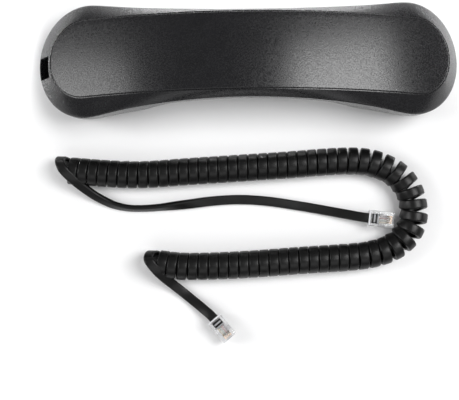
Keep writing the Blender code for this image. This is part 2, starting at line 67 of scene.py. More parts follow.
# name, place, width, height, watts
LIGHTS = (
    ("right_softbox", (0.56, 0.03, 0.94), 0.52, 0.62, 9.2),
    ("left_softbox", (-0.92, 0.03, 0.64), 0.44, 0.70, 5.5),
    ("front_softbox", (0.0, -0.80, 0.85), 1.40, 0.60, 3.2),
    ("back_strip", (-0.03, 1.20, 0.22), 0.80, 0.34, 7.8),
    ("right_strip", (1.20, 0.30, 0.08), 1.00, 0.16, 2.6),
    ("left_strip", (-1.20, 0.25, 0.08), 1.00, 0.16, 2.0),
)
# Gridded lights straight above the floor beside the handset: they overexpose the floor that its
# ends mirror.
WASH_HEIGHT = 1.0
WASH_SPREAD = math.radians(4)
# name, place on the floor, width, depth, watts
WASHES = (
    ("right_wash", (0.254, 0.060), 0.25, 0.12, 0.80),
    ("left_wash", (-0.256, 0.05), 0.25, 0.12, 0.46),
    ("back_wash", (0.005, 0.20), 0.15, 0.28, 0.9),
)

# ---- handset shell, as in the CAD model
HALF_LENGTH = 0.1030
BULGE_X = 0.0780
BULGE_HALF_WIDTH = 0.0274
WAIST_HALF_WIDTH = 0.0208
BACK_HEIGHT = 0.0440
BACK_RADIUS = 0.2200
SKIRT_DROP = 0.0072
PANEL_HALF_LENGTH = 0.0964
PANEL_CAP_X = 0.0796
PANEL_HALF_WIDTH = 0.0180
PANEL_END_WIDENING = 0.0005
PANEL_SHIFT = 0.0006
GRIP_THICKNESS = 0.0250
RAMP_START = 0.0360
RAMP_END = 0.0560
WALL = 0.0020
GRIP_FLOOR = 0.0022
CUP_FLOOR = 0.0055
GAP = 0.0003
CROWN = 0.0004                        # rise of the panel's middle above its edges
CAP_STEPS = 28
SIDE_STEPS = 48
PANEL_CROSS_STEPS = 16
ROUND_STEPS = 6                       # steps round a small rounded edge
UNDERSIDE_STEPS = 14
SLIVER = 2e-6                         # corners closer than this are joined after a cut

# ---- details of the rear shell
PANEL_EDGE_RADIUS = 0.0005
GROOVE_DEPTH = 0.0008
GROOVE_WIDTH = 0.00045
GROOVE_BEVEL = 0.00005
GROOVE_OUTER_DROP = 0.0004
SKIRT_STEPS = 10
SKIRT_BULGE = 0.0011
SKIRT_FOOT_INSET = 0.0003
SKIRT_FOOT_HEIGHT = 0.0013            # above the joint
# The rounded edge at the joint: inset from the outline, and height above the joint.
LIP = ((0.00008, 0.0009), (0.0, 0.0006), (0.00005, 0.0003), (0.0002, 0.00008), (0.00045, 0.0))
REAR_CREASE_ANGLE = 32                # degrees; sharper edges stay sharp

# ---- details of the front shell
RIM_INSET = 0.00035
CUP_EDGE_RADIUS = 0.0073
# The inner wall from the joint down to the floor: inset, and share of the height.
INNER_WALL = ((RIM_INSET + WALL, 1.0), (0.0048, 0.30), (0.0105, 0.0))
FRONT_CREASE_ANGLE = 40

# ---- openings
DISH_X = 0.0780
DISH_RADIUS = 0.0160
DISH_DEPTH = 0.0026
DISH_RIM = 0.0006                     # rounding of the dish's outer edge
DISH_FILLET = 0.0010
DISH_SLOPE = 0.0002                   # how much deeper the dish is in its middle than at its wall
EAR_HOLE_RADIUS = 0.0009
EAR_HOLE_FLARE = 0.0004
EAR_HOLE_RINGS = ((0.0, 1), (0.0036, 6), (0.0070, 6))
MIC_X = -0.0700
MIC_SLOT = (0.0020, 0.0070)
HOLE_LOW = 0.001                      # the holes in the cups are cut between these heights
HOLE_HIGH = 0.008
SOCKET_Y = -0.0016
SOCKET_HALF_WIDTH = 0.0054
SOCKET_BOTTOM = 0.0127
SOCKET_TOP = 0.0199
SOCKET_LIP_BACK = -0.1024
SOCKET_LIP_RELIEF = 0.0045
SOCKET_LIP_MARGIN = 0.0002
JACK_FRONT = -0.0930
SCREW_X = 0.0320
SCREW_BORE_RADIUS = 0.00115
SCREW_POCKET_RADIUS = 0.0028
SCREW_POCKET_DEPTH = 0.0012
BOSS_FOOT = 0.0240
BOSS_RADIUS = 0.0030
BOSS_BEVEL = 0.0004
BOSS_BORE_TOP = 0.0330
CUT_MARGIN = 0.004                    # how far a round cutter starts outside what it cuts

# ---- shell screws, measured from the face of the head
HEAD_RADIUS = 0.0024
HEAD_EDGE_RADIUS = 0.0012
HEAD_EDGE_HEIGHT = 0.0007
HEAD_THICKNESS = 0.0014
RECESS_HALF_LENGTH = 0.0013
RECESS_HALF_WIDTH = 0.00028
RECESS_DEPTH = 0.0008
SHANK_RADIUS = 0.00085
THREAD_ROOT_RADIUS = 0.00068
THREAD_START = 0.0020
THREAD_PITCH = 0.0008
THREAD_TURNS = 14

# ---- plugs
PLUG_LENGTH = 0.0123
PLUG_WIDTH = 0.00765
PLUG_HEIGHT = 0.0058
PLUG_BASE = 0.0027
PLUG_AXIS = PLUG_BASE + 0.5 * PLUG_HEIGHT
LATCH_ANGLE = math.radians(7.5)
LATCH_LENGTH = 0.0102
LATCH_THICKNESS = 0.0008
LATCH_HALF_WIDTH = 0.0016
LATCH_SETBACK = 0.0004                # from the plug's nose back to the latch's root
CATCH_HALF_WIDTH = 0.0031
CONTACT_PITCH = 0.00102
CONTACT_OFFSETS = tuple((i - 1.5) * CONTACT_PITCH for i in range(4))
PLUGS = {
    "a": ((0.0584, -0.0757), math.radians(-7)),
    "b": ((-0.0183, -0.1243), math.radians(-50)),
}
PLUG_RIM = 0.0007
PLUG_MIDDLE = 0.5 * PLUG_HEIGHT
PLUG_HALF_WIDTH = 0.5 * PLUG_WIDTH
MOUTH_HALF_WIDTH = 0.00262
MOUTH_HALF_HEIGHT = 0.0015
CHANNEL_HALF_WIDTH = 0.0021
CHANNEL_HALF_HEIGHT = 0.00055
CRIMP_LOW = PLUG_MIDDLE + 0.00125
CRIMP_HIGH = PLUG_MIDDLE + 0.0022
SLOT_HALF_WIDTH = 0.00031
BLADE_HALF_WIDTH = 0.00019
WIRE_RADIUS = 0.0004
WIRE_BEVEL = 0.0001
WIRE_ENDS = (0.0045, 0.0093)
WIRE_COLOURS = ("yellow", "green", "red", "black")
JACKET_IN_PLUG = 0.0044
LEAD_BEHIND_PLUG = 0.0018

# ---- cord
CORD_WIDTH = 0.0047
CORD_THICKNESS = 0.0024
CORD_CORNER = 0.0008
CORD_CORNER_STEPS = 5
CORD_CROWN = 0.00003
COIL_RADIUS = 0.0067
COIL_MEAN_RADIUS = COIL_RADIUS - 0.5 * CORD_THICKNESS
COIL_PITCH = 0.00488
BEND_PITCH = 0.0061
BEND_CURVATURE = 46.0
TURN_TILT = 0.5                       # how nearly the turns lie square across the coil's top
BEND_TILT = 0.95                      # in the bend the turns tip over, so that they fan out like coins
POINTS_PER_TURN = 30
LEAD_STEPS = 14                       # points between two knots of a lead
COIL_SAMPLES = 1400
BEND_WINDOW = 91                      # samples over which the coil's curvature is smoothed
# The turns are not quite evenly spaced: size in turns, waves per turn in radians, and start.
UNEVENNESS = ((0.006, 2.1, 0.0), (0.010, 0.83, 1.0), (0.002, 4.4, 0.0))
# Where the turns crowd together they lean over each other: turn spacing, and the lean in degrees
# that clears it.
CROWDED_PITCH = (0.0036, 0.0040, 0.0042, 0.0044, 0.0046, 0.00465, 0.00478)
CROWDED_LEAN = (46.0, 38.0, 33.0, 28.0, 20.0, 16.0, 0.0)
LOW = 0.5 * CORD_THICKNESS            # middle of a cord that lies flat on the floor
COIL_ROUTE = [
    (-0.0897, -0.0508), (-0.0850, -0.0512), (-0.0700, -0.0525), (-0.0530, -0.0532),
    (-0.0290, -0.0518), (-0.0040, -0.0504), (0.0190, -0.0491), (0.0400, -0.0477),
    (0.0540, -0.0476), (0.0640, -0.0497), (0.0730, -0.0547), (0.0786, -0.0622),
    (0.0807, -0.0703), (0.0802, -0.0776), (0.0768, -0.0845), (0.0700, -0.0901),
    (0.0600, -0.0935), (0.0480, -0.0950), (0.0245, -0.0963), (0.0015, -0.0978),
    (-0.0185, -0.0986), (-0.0340, -0.0985), (-0.0462, -0.0969)]
COIL_START_ANGLE = math.radians(-40)
COIL_END_ANGLE = math.radians(-140)
# From the coil's loose end turn to just behind the plug: place, and which way the flat side faces.
LEAD_A_ROUTE = [
    ((-0.0923, -0.0450, 0.0075), (0.0, 1.0, 0.15)), ((-0.0930, -0.0462, 0.0108), (0.0, 0.6, 0.8)),
    ((-0.0922, -0.0487, 0.0129), (0.0, 0.15, 1.0)), ((-0.0904, -0.0517, 0.0131), (0.0, -0.1, 1.0)),
    ((-0.0864, -0.0557, 0.0107), (-0.1, -0.3, 1.0)), ((-0.0825, -0.0590, 0.0076), (-0.2, -0.5, 1.0)),
    ((-0.0768, -0.0631, 0.0044), (-0.3, -0.8, 1.0)), ((-0.0708, -0.0663, 0.0027), (-0.3, -1.0, 0.8)),
    ((-0.0665, -0.0680, 0.0024), (-0.3, -1.0, 0.5)), ((-0.0610, -0.0692, 0.0023), (-0.1, -1.0, 0.3)),
    ((-0.0544, -0.0696, 0.0023), (0.0, -1.0, 0.25)), ((-0.0444, -0.0691, 0.0023), (0.1, -1.0, 0.35)),
    ((-0.0310, -0.0677, 0.0020), (0.1, -0.7, 1.0)), ((-0.0177, -0.0661, 0.0014), (0.0, -0.2, 1.0)),
    ((-0.0042, -0.0656, LOW), (0.0, 0.0, 1.0)), ((0.0100, -0.0667, LOW), (0.0, 0.0, 1.0)),
    ((0.0266, -0.0694, 0.0013), (0.0, 0.0, 1.0)), ((0.0400, -0.0720, 0.0023), (0.0, 0.0, 1.0)),
    ((0.0480, -0.0737, 0.0038), (0.0, 0.0, 1.0))]
LEAD_B_ROUTE = [
    ((-0.0483, -0.0919, 0.0075), (0.0, 1.0, 0.15)), ((-0.0494, -0.0934, 0.0108), (0.0, 0.6, 0.8)),
    ((-0.0494, -0.0953, 0.0129), (0.0, 0.15, 1.0)), ((-0.0480, -0.0976, 0.0131), (0.0, -0.1, 1.0)),
    ((-0.0452, -0.1010, 0.0114), (0.1, -0.3, 1.0)), ((-0.0420, -0.1042, 0.0082), (0.1, -0.3, 1.0)),
    ((-0.0382, -0.1074, 0.0044), (0.1, -0.2, 1.0)), ((-0.0338, -0.1110, 0.0024), (0.0, 0.0, 1.0)),
    ((-0.0294, -0.1146, 0.0022), (0.0, 0.0, 1.0)), ((-0.0239, -0.1191, 0.0034), (0.0, 0.0, 1.0))]


# ================================================================ stage

def make_stage():
    """A plain pale floor, soft lights on every side, and a dim surround."""
    mesh = bpy.data.meshes.new("floor")
    corners = [(FLOOR_HALF_SIZE * x, FLOOR_HALF_SIZE * y, 0) for x, y in ((-1, -1), (1, -1), (1, 1), (-1, 1))]
    mesh.from_pydata(corners, [], [(0, 1, 2, 3)])
    floor = bpy.data.objects.new("floor", mesh)
    bpy.context.scene.collection.objects.link(floor)
    finish, *_ = new_material("pale_floor", FLOOR_COLOUR, FLOOR_ROUGHNESS)
    mesh.materials.append(finish)

    world = bpy.data.worlds.new("surround")
    bpy.context.scene.world = world
    world.use_nodes = True
    background = world.node_tree.nodes["Background"]
    background.inputs["Color"].default_value = (1.0, 1.0, 1.0, 1.0)
    background.inputs["Strength"].default_value = SURROUND_STRENGTH
    for name, place, width, height, power in LIGHTS:
        add_light(name, place, LIGHT_AIM, width, height, power)
    for name, (x, y), width, depth, power in WASHES:
        wash = add_light(name, (x, y, WASH_HEIGHT), (x, y, 0.0), width, depth, power)
        wash.data.spread = WASH_SPREAD
    bpy.context.scene.view_settings.view_transform = "Standard"


def add_light(name, place, aim, width, height, power):
    """A rectangular soft light that faces its aim point."""
    light = bpy.data.lights.new(name, "AREA")
    light.shape = "RECTANGLE"
    light.size = width
    light.size_y = height
    light.energy = power
    made = bpy.data.objects.new(name, light)
    bpy.context.scene.collection.objects.link(made)
    made.location = place
    made.rotation_euler = (Vector(aim) - Vector(place)).to_track_quat("-Z", "Y").to_euler()
    return made


def make_camera():
    """Nearly overhead, leaning a little, with the long side of the handset almost level."""
    data = bpy.data.cameras.new("camera")
    data.lens = CAMERA_LENS
    data.sensor_width = SENSOR_WIDTH
    data.clip_start = 0.01
    camera = bpy.data.objects.new("camera", data)
    bpy.context.scene.collection.objects.link(camera)
    camera.location = CAMERA_PLACE
    camera.rotation_mode = "ZYX"
    camera.rotation_euler = (CAMERA_TILT, 0.0, CAMERA_ROLL)
    bpy.context.scene.camera = camera


# ================================================================ materials

def new_material(name, colour, roughness, metallic=0.0):
    """A Principled material and the parts needed to add to it."""
    made = bpy.data.materials.new(name)
    made.use_nodes = True
    nodes = made.node_tree.nodes
    links = made.node_tree.links
    shader = nodes["Principled BSDF"]
    shader.inputs["Base Color"].default_value = (*colour, 1.0)
    shader.inputs["Roughness"].default_value = roughness
    shader.inputs["Metallic"].default_value = metallic
    return made, nodes, links, shader


def noise(nodes, links, scale, detail=2.0, stretch=(1.0, 1.0, 1.0), source="Object"):
    """A noise texture in the piece's own coordinates, metres, optionally stretched."""
    coordinates = nodes.new("ShaderNodeTexCoord")
    mapping = nodes.new("ShaderNodeMapping")
    mapping.inputs["Scale"].default_value = stretch
    texture = nodes.new("ShaderNodeTexNoise")
    texture.inputs["Scale"].default_value = scale
    texture.inputs["Detail"].default_value = detail
    links.new(coordinates.outputs[source], mapping.inputs["Vector"])
    links.new(mapping.outputs["Vector"], texture.inputs["Vector"])
    return texture


def vary(nodes, links, texture, socket, low, high):
    """Drive a socket with a texture, from low to high: two numbers or two colours."""
    gradient = nodes.new("ShaderNodeValToRGB")
    gradient.color_ramp.elements[0].position = 0.3
    gradient.color_ramp.elements[1].position = 0.7
    for element, value in zip(gradient.color_ramp.elements, (low, high)):
        colour = (value, value, value) if isinstance(value, float) else value
        element.color = (*colour, 1.0)
    links.new(texture.outputs["Fac"], gradient.inputs["Fac"])
    links.new(gradient.outputs["Color"], socket)


def bump(nodes, links, shader, texture, strength, distance):
    """Fine relief from a texture."""
    node = nodes.new("ShaderNodeBump")
    node.inputs["Strength"].default_value = strength
    node.inputs["Distance"].default_value = distance
    links.new(texture.outputs["Fac"], node.inputs["Height"])
    if shader.inputs["Normal"].is_linked:
        links.new(shader.inputs["Normal"].links[0].from_socket, node.inputs["Normal"])
    links.new(node.outputs["Normal"], shader.inputs["Normal"])


def grained_plastic():
    """The shells: semi-matte black plastic with a fine spark-eroded grain."""
    made, nodes, links, shader = new_material("shell_plastic", (0.005, 0.005, 0.0055), 0.32)
    shader.inputs["IOR"].default_value = 1.52
    grain = noise(nodes, links, 1500.0, 4.0)
    cloud = noise(nodes, links, 120.0, 2.0)
    vary(nodes, links, cloud, shader.inputs["Base Color"], (0.0038, 0.0038, 0.0048), (0.0055, 0.0055, 0.0068))
    vary(nodes, links, grain, shader.inputs["Roughness"], 0.16, 0.36)
    bump(nodes, links, shader, grain, 0.5, 0.00005)
    return made


def cord_jacket():
    """The flat cord: satin black with fine marks drawn along its length."""
    made, nodes, links, shader = new_material("cord_jacket", (0.004, 0.004, 0.004), 0.42)
    shader.inputs["Specular IOR Level"].default_value = 0.28
    streaks = noise(nodes, links, 1.0, 3.0, (14.0, 220.0, 1.0), "UV")
    skin = noise(nodes, links, 2600.0, 2.0)
    vary(nodes, links, streaks, shader.inputs["Base Color"], (0.002, 0.002, 0.002), (0.0045, 0.0045, 0.0045))
    vary(nodes, links, skin, shader.inputs["Roughness"], 0.31, 0.41)
    bump(nodes, links, shader, streaks, 0.25, 0.00006)
    bump(nodes, links, shader, skin, 0.2, 0.00004)
    return made


def speckled(name, colour, roughness, metallic, scale, relief, spread=0.15):
    """A moulded, plated or fibrous finish: its colour and roughness vary at one scale, with relief."""
    made, nodes, links, shader = new_material(name, colour, roughness, metallic)
    texture = noise(nodes, links, scale, 3.0)
    dark = tuple(c * (1 - spread) for c in colour)
    light = tuple(min(1.0, c * (1 + spread)) for c in colour)
    vary(nodes, links, texture, shader.inputs["Base Color"], dark, light)
    smooth = max(0.02, roughness - 0.05)
    rough = min(1.0, roughness + 0.05)
    vary(nodes, links, texture, shader.inputs["Roughness"], smooth, rough)
    bump(nodes, links, shader, texture, 0.3, relief)
    return made


def clear_plastic():
    """The plugs: clear polycarbonate with faint moulding waviness."""
    made, nodes, links, shader = new_material("plug_plastic", (0.97, 0.97, 0.98), 0.05)
    shader.inputs["IOR"].default_value = 1.38
    shader.inputs["Transmission Weight"].default_value = 0.82
    waves = noise(nodes, links, 500.0, 1.0)
    vary(nodes, links, waves, shader.inputs["Roughness"], 0.03, 0.09)
    bump(nodes, links, shader, waves, 0.15, 0.00003)
    return made


def frosted_plastic(name, low, high):
    """The rough-moulded edges and pressed bars of the plugs: the same plastic, milky."""
    made, nodes, links, shader = new_material(name, high, 0.35)
    shader.inputs["Transmission Weight"].default_value = 0.25
    frost = noise(nodes, links, 1800.0, 2.0)
    vary(nodes, links, frost, shader.inputs["Base Color"], low, high)
    vary(nodes, links, frost, shader.inputs["Roughness"], 0.28, 0.45)
    bump(nodes, links, shader, frost, 0.3, 0.00004)
    return made


def make_materials():
    """Every finish by the record's slot name, and two milky variants of the clear plastic."""
    return {
        "shell": grained_plastic(),
        "cord": cord_jacket(),
        "clear": clear_plastic(),
        "frosted": frosted_plastic("plug_frosted", (0.72, 0.72, 0.75), (0.88, 0.88, 0.90)),
        "pressed": frosted_plastic("plug_pressed", (0.30, 0.30, 0.32), (0.50, 0.50, 0.52)),
        "jack": speckled("jack_plastic", (0.004, 0.004, 0.004), 0.5, 0.0, 900.0, 0.00003),
        "gold": speckled("contact_gold", (0.56, 0.43, 0.31), 0.22, 1.0, 1500.0, 0.00001),
        "steel": speckled("zinc_plate", (0.52, 0.53, 0.55), 0.3, 1.0, 900.0, 0.00002),
        "ballast": speckled("cast_ballast", (0.16, 0.16, 0.17), 0.55, 1.0, 500.0, 0.00015),
        "magnet": speckled("nickel_plate", (0.6, 0.59, 0.56), 0.15, 1.0, 700.0, 0.00001),
        "copper": speckled("copper_winding", (0.55, 0.2, 0.08), 0.35, 1.0, 4000.0, 0.00005),
        "film": speckled("amber_film", (0.6, 0.38, 0.12), 0.3, 0.0, 600.0, 0.00001),
        "rubber": speckled("soft_rubber", (0.02, 0.02, 0.02), 0.75, 0.0, 1200.0, 0.00004),
        "felt": speckled("black_felt", (0.015, 0.015, 0.015), 0.95, 0.0, 2500.0, 0.0002, 0.4),
        "foam": speckled("grey_foam", (0.08, 0.08, 0.085), 0.95, 0.0, 1300.0, 0.0003, 0.3),
        "board": speckled("board_mask", (0.015, 0.12, 0.045), 0.4, 0.0, 400.0, 0.00002),
        "red": speckled("red_insulation", (0.58, 0.30, 0.27), 0.4, 0.0, 1500.0, 0.00002),
        "green": speckled("green_insulation", (0.50, 0.55, 0.45), 0.4, 0.0, 1500.0, 0.00002),
        "yellow": speckled("yellow_insulation", (0.72, 0.62, 0.42), 0.4, 0.0, 1500.0, 0.00002),
        "black": speckled("black_insulation", (0.26, 0.20, 0.19), 0.4, 0.0, 1500.0, 0.00002),
    }


# ================================================================ mesh helpers

def add_mesh(name, vertices, faces, smooth_angle=35):
    """A mesh object with its faces pointing out and its sharp edges marked."""
    mesh = bpy.data.meshes.new(name)
    mesh.from_pydata([tuple(v) for v in vertices], [], faces)
    made = bpy.data.objects.new(name, mesh)
    bpy.context.scene.collection.objects.link(made)
    work = bmesh.new()
    work.from_mesh(mesh)
    bmesh.ops.recalc_face_normals(work, faces=work.faces)
    work.to_mesh(mesh)
    work.free()
    mesh.shade_smooth()
    mesh.set_sharp_from_angle(angle=math.radians(smooth_angle))
    return made


def box(name, low, high, bevel=0.0, segments=3):
    """A box between two corners, its edges rounded."""
    work = bmesh.new()
    bmesh.ops.create_cube(work, size=1.0)
    bmesh.ops.scale(work, vec=[b - a for a, b in zip(low, high)], verts=work.verts)
    bmesh.ops.translate(work, vec=[0.5 * (a + b) for a, b in zip(low, high)], verts=work.verts)
    if bevel:
        bmesh.ops.bevel(
            work, geom=work.edges[:], offset=bevel, segments=segments, affect="EDGES", profile=0.5)
    mesh = bpy.data.meshes.new(name)
    work.to_mesh(mesh)
    work.free()
    mesh.shade_smooth()
    mesh.set_sharp_from_angle(angle=math.radians(40))
    made = bpy.data.objects.new(name, mesh)
    bpy.context.scene.collection.objects.link(made)
    return made


def turned(name, profile, sides=48):
    """A solid of revolution about Z from its (radius, height) profile."""
    vertices = []
    faces = []
    rows = []
    for radius, height in profile:
        if radius == 0:
            rows.append([len(vertices)] * sides)
            vertices.append((0, 0, height))
            continue
        rows.append(list(range(len(vertices), len(vertices) + sides)))
        for i in range(sides):
            angle = 2 * math.pi * i / sides
            vertices.append((radius * math.cos(angle), radius * math.sin(angle), height))
    closing = rows[1:] + rows[:1] if profile[0][0] > 0 else rows[1:]
    for first, second in zip(rows, closing):
        for i in range(sides):
            j = (i + 1) % sides
            face = list(dict.fromkeys([first[i], first[j], second[j], second[i]]))
            if len(face) > 2:
                faces.append(face)
    return add_mesh(name, vertices, faces)


def rod(radius, low, high):
    """The profile of a plain round rod."""
    return [(0, low), (radius, low), (radius, high), (0, high)]


def quarter_turn(steps):
    """Evenly spaced angles from 0 to 90 degrees."""
    return [0.5 * math.pi * step / steps for step in range(steps + 1)]


def shifted(piece, x):
    """Move a piece along X and hand it back."""
    piece.location.x = x
    return piece


def place_of(piece):
    """The matrix of an unparented piece, without waiting for an update of the scene."""
    return Matrix.LocRotScale(piece.location, piece.rotation_euler, piece.scale)


def merged(name, pieces):
    """Several solids in one object; the separate ones are removed."""
    work = bmesh.new()
    for piece in pieces:
        copy = piece.data.copy()
        copy.transform(place_of(piece))
        work.from_mesh(copy)
        bpy.data.objects.remove(piece)
    mesh = bpy.data.meshes.new(name)
    work.to_mesh(mesh)
    work.free()
    made = bpy.data.objects.new(name, mesh)
    bpy.context.scene.collection.objects.link(made)
    return made


def close_slivers(mesh):
    """Join the corners that a cut leaves almost on top of each other, and drop the faces between them."""
    work = bmesh.new()
    work.from_mesh(mesh)
    bmesh.ops.remove_doubles(work, verts=work.verts, dist=SLIVER)
    bmesh.ops.dissolve_degenerate(work, edges=work.edges, dist=SLIVER)
    work.to_mesh(mesh)
    work.free()


def cut(target, cutter, operation="DIFFERENCE", smooth_angle=35):
    """Cut a tool out of a piece, keep the result as its mesh, and remove the tool."""
    modifier = target.modifiers.new("cut", "BOOLEAN")
    modifier.operation = operation
    modifier.object = cutter
    modifier.solver = "EXACT"
    graph = bpy.context.evaluated_depsgraph_get()
    graph.update()
    mesh = bpy.data.meshes.new_from_object(target.evaluated_get(graph))
    target.modifiers.clear()
    target.data = mesh
    bpy.data.objects.remove(cutter)
    close_slivers(mesh)
    mesh.shade_smooth()
    mesh.set_sharp_from_angle(angle=math.radians(smooth_angle))


def dress(piece, finish, slot_name, body, *nodes):
    """Give a new piece its material and body, and hide the CAD nodes that it stands for; the slot name is not
    used.
    """
    piece.data.materials.clear()
    piece.data.materials.append(finish)
    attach(piece, body)
    if nodes:
        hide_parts(*nodes)


# ================================================================ shells

def back_height(x):
    """Height of the arched back panel along its middle."""
    return BACK_HEIGHT - BACK_RADIUS + math.sqrt(BACK_RADIUS ** 2 - x ** 2)


def joint_height(x):
    """Height of the joint between the two shells."""
    return back_height(x) - SKIRT_DROP


def ramp(x):
    """0 in the grip, 1 in the cups."""
    return min(1.0, max(0.0, (abs(x) - RAMP_START) / (RAMP_END - RAMP_START)))


def under_height(x):
    """Height of the underside: the arched grip, a ramp, then the flat cup rims."""
    t = ramp(x)
    return (1 - t * t * (3 - 2 * t)) * (back_height(x) - GRIP_THICKNESS)


def outline_width(x):
    """Half width of the handset along its long sides."""
    u = abs(x) / BULGE_X
    return WAIST_HALF_WIDTH + (BULGE_HALF_WIDTH - WAIST_HALF_WIDTH) * (u ** 2 + 2 * u ** 12 * (1 - u))


def panel_width(x):
    """Half width of the back panel."""
    return PANEL_HALF_WIDTH + PANEL_END_WIDENING * (x / PANEL_CAP_X) ** 2


def plan_loop(half_width, cap_x, half_length, inset, shift=0.0):
    """A closed plan outline: two elliptical end caps and two long sides, symmetric about X."""
    quarter = []
    for i in range(CAP_STEPS):
        angle = 0.5 * math.pi * i / CAP_STEPS
        along = (half_length - cap_x - inset) * math.cos(angle)
        quarter.append((cap_x + along, (half_width(cap_x) - inset) * math.sin(angle)))
    for i in range(SIDE_STEPS):
        x = cap_x * (1 - i / SIDE_STEPS)
        quarter.append((x, half_width(x) - inset))
    upper = quarter + [(0.0, half_width(0.0) - inset)] + [(-x, y) for x, y in reversed(quarter)]
    lower = [(x, -y) for x, y in reversed(upper[1:-1])]
    return [(x + shift, y) for x, y in upper + lower]


def between(low, high, share):
    """A height function that lies a given share of the way from low to high."""
    return lambda x: low(x) + share * (high(x) - low(x))


def raised(height, rise):
    """A height function moved up."""
    return lambda x: height(x) + rise


def outline_loop(inset, height):
    """The handset's outline, drawn in by inset."""
    return [Vector((x, y, height(x))) for x, y in plan_loop(outline_width, BULGE_X, HALF_LENGTH, inset)]


def panel_loop(inset, drop):
    """The back panel's edge, drawn in by inset and lowered by drop."""
    plan = plan_loop(panel_width, PANEL_CAP_X, PANEL_HALF_LENGTH, inset, PANEL_SHIFT)
    return [Vector((x, y, back_height(x) - drop)) for x, y in plan]


def loft(name, loops, first_crown=0.0, last_crown=0.0, smooth_angle=35):
    """A closed solid: loops bridged in order, both ends closed across Y with a gentle crown."""
    count = len(loops[0])
    half = count // 2
    vertices = [point for loop in loops for point in loop]
    faces = []
    for row in range(len(loops) - 1):
        start = row * count
        for i in range(count):
            j = (i + 1) % count
            faces.append([start + i, start + j, start + count + j, start + count + i])
    for start, crown in ((0, first_crown), ((len(loops) - 1) * count, last_crown)):
        rows = []
        for i in range(half + 1):
            a = start + i
            b = start + (count - i) % count
            if a == b:
                rows.append([a] * (PANEL_CROSS_STEPS + 1))
                continue
            row = [a]
            for step in range(1, PANEL_CROSS_STEPS):
                t = step / PANEL_CROSS_STEPS
                point = vertices[a].lerp(vertices[b], t)
                width = abs(vertices[a].y) / PANEL_HALF_WIDTH
                point.z += crown * min(1.0, width) ** 2 * 4 * t * (1 - t)
                row.append(len(vertices))
                vertices.append(point)
            rows.append(row + [b])
        for first, second in zip(rows, rows[1:]):
            for k in range(PANEL_CROSS_STEPS):
                face = list(dict.fromkeys([first[k], second[k], second[k + 1], first[k + 1]]))
                if len(face) > 2:
                    faces.append(face)
    return add_mesh(name, vertices, faces, smooth_angle)


def socket_lip_relief():
    """A tilted box: under the socket opening, both shells fall away behind a thin outer lip."""
    relief = box(
        "lip_relief", (0, SOCKET_Y - SOCKET_HALF_WIDTH + SOCKET_LIP_MARGIN, 0),
        (SOCKET_LIP_RELIEF, SOCKET_Y + SOCKET_HALF_WIDTH - SOCKET_LIP_MARGIN, SOCKET_LIP_RELIEF))
    relief.location = (SOCKET_LIP_BACK, 0, SOCKET_BOTTOM)
    relief.rotation_euler.y = math.radians(45)
    return relief


def rear_shell_loops():
    """Panel with a rounded rim and a groove round it, sloping skirt, rounded lip, then the inside."""
    loops = []
    for angle in quarter_turn(ROUND_STEPS):
        inset = PANEL_EDGE_RADIUS * (1 - math.sin(angle))
        loops.append(panel_loop(inset, CROWN + PANEL_EDGE_RADIUS * (1 - math.cos(angle))))
    loops.append(panel_loop(0.0, CROWN + GROOVE_DEPTH))
    loops.append(panel_loop(-GROOVE_WIDTH, CROWN + GROOVE_DEPTH))
    skirt_top = panel_loop(-GROOVE_WIDTH - GROOVE_BEVEL, CROWN + GROOVE_OUTER_DROP)
    skirt_foot = outline_loop(SKIRT_FOOT_INSET, raised(joint_height, SKIRT_FOOT_HEIGHT))
    for step in range(SKIRT_STEPS + 1):
        t = step / SKIRT_STEPS
        rise = Vector((0, 0, SKIRT_BULGE * t * (1 - t)))
        loops.append([a.lerp(b, t) + rise for a, b in zip(skirt_top, skirt_foot)])
    for inset, rise in LIP:
        loops.append(outline_loop(inset, raised(joint_height, rise)))
    loops.append(outline_loop(WALL, joint_height))
    loops.append(panel_loop(0.9 * WALL, WALL + CROWN))
    return loops


def make_rear_shell(finish):
    """The upper moulding: arched panel and skirt, two screw bosses and the socket opening."""
    shell = loft("rear_shell_surface", rear_shell_loops(), CROWN, 0.0, REAR_CREASE_ANGLE)
    bosses = []
    bores = []
    for x in (-SCREW_X, SCREW_X):
        top = back_height(x) - 0.5 * WALL
        profile = [
            (0, BOSS_FOOT), (BOSS_RADIUS - BOSS_BEVEL, BOSS_FOOT), (BOSS_RADIUS, BOSS_FOOT + BOSS_BEVEL),
            (BOSS_RADIUS, top), (0, top)]
        bosses.append(shifted(turned("boss", profile), x))
        bore = rod(SCREW_BORE_RADIUS, BOSS_FOOT - CUT_MARGIN, BOSS_BORE_TOP)
        bores.append(shifted(turned("bore", bore), x))
    cut(shell, merged("rear_bosses", bosses), "UNION", REAR_CREASE_ANGLE)
    cut(shell, merged("rear_bores", bores), smooth_angle=REAR_CREASE_ANGLE)
    opening = box(
        "socket_cut", (-HALF_LENGTH - 0.01, SOCKET_Y - SOCKET_HALF_WIDTH, SOCKET_BOTTOM),
        (JACK_FRONT, SOCKET_Y + SOCKET_HALF_WIDTH, SOCKET_TOP), 0.0003, 2)
    cut(shell, opening, smooth_angle=REAR_CREASE_ANGLE)
    cut(shell, merged("lip_relief_placed", [socket_lip_relief()]), smooth_angle=REAR_CREASE_ANGLE)
    dress(shell, finish, "shell", "handset", "rear_shell")


def front_shell_loops():
    """Rounded grip and cups from the underside up to the joint, then down the inside."""
    joint = raised(joint_height, -GAP)

    def inner_floor(x):
        return under_height(x) + GRIP_FLOOR + (CUP_FLOOR - GRIP_FLOOR) * ramp(x)

    loops = []
    for angle in reversed(quarter_turn(UNDERSIDE_STEPS)):
        inset = RIM_INSET + CUP_EDGE_RADIUS * (1 - math.cos(angle))
        loops.append(outline_loop(inset, between(under_height, joint, 1 - math.sin(angle))))
    for inset, share in INNER_WALL:
        loops.append(outline_loop(inset, between(inner_floor, joint, share)))
    return loops


